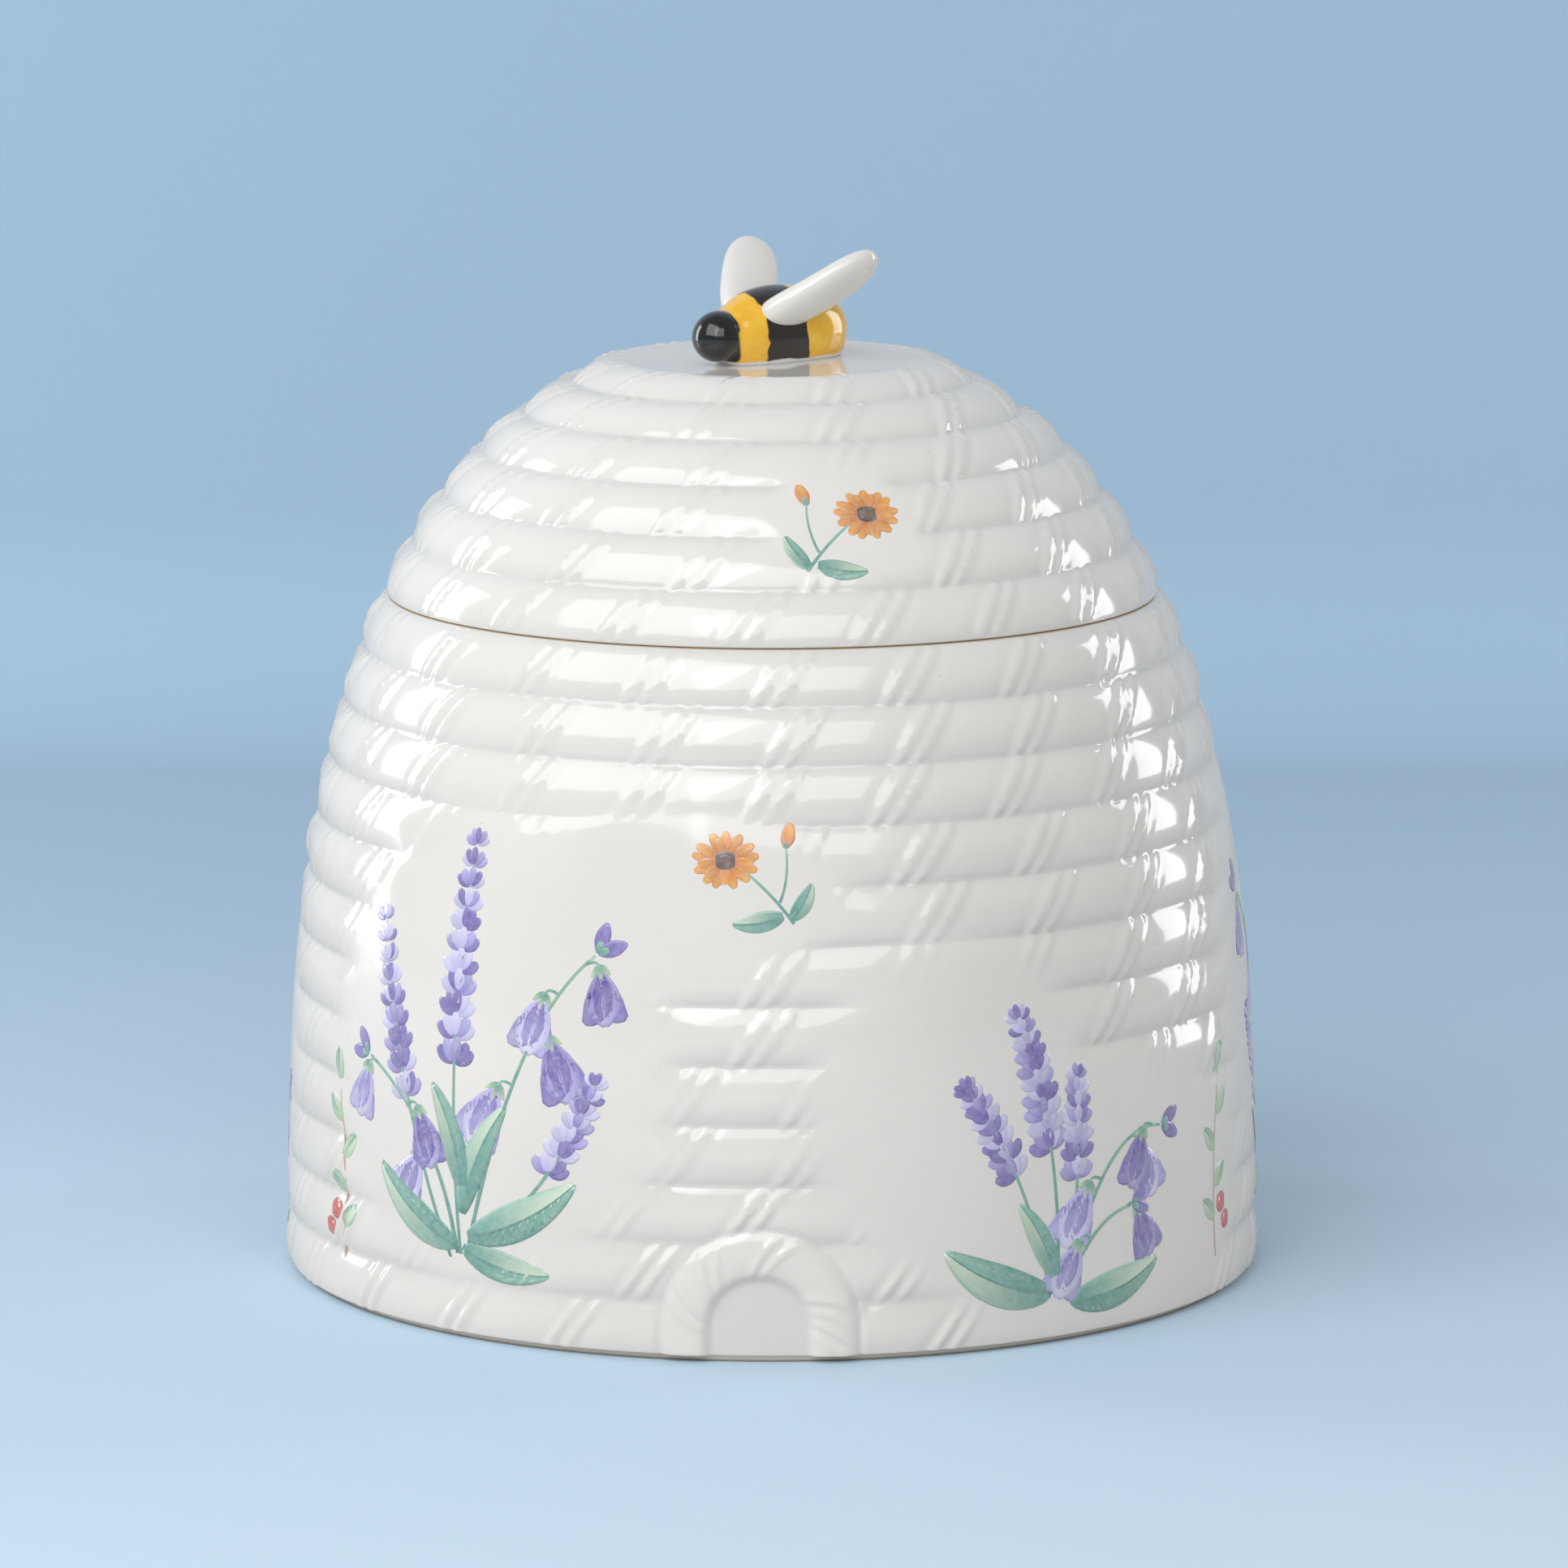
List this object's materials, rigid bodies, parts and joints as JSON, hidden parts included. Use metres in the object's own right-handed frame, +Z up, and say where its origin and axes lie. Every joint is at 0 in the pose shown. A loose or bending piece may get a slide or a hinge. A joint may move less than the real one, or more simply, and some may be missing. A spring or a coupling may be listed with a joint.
{
  "type": "covered candy jar",
  "caption": "Round white glazed jar in the form of a coiled straw beehive, with a lift-off domed lid and a bee for its handle.",
  "frame": {"origin": "on the table, under the middle of the jar", "axes": "+Z up along the jar's axis; -Y out through the entrance arch on the front; +X to the right seen from the front"},
  "size_m": [0.191, 0.1914, 0.1999],
  "materials": {
    "white_glaze": "gloss",
    "bee_paint": "gloss",
    "wing_glaze": "gloss"
  },
  "bodies": {
    "jar": {"jar_body": "white_glaze"},
    "lid": {"lid": "white_glaze", "bee_body": "bee_paint", "bee_wing_left": "wing_glaze", "bee_wing_right": "wing_glaze"}
  },
  "joints": [
    {"name": "lid_lift", "type": "slide", "parent": "jar", "child": "lid", "axis": [0, 0, 1], "range_m": [0, 0.1]}
  ]
}
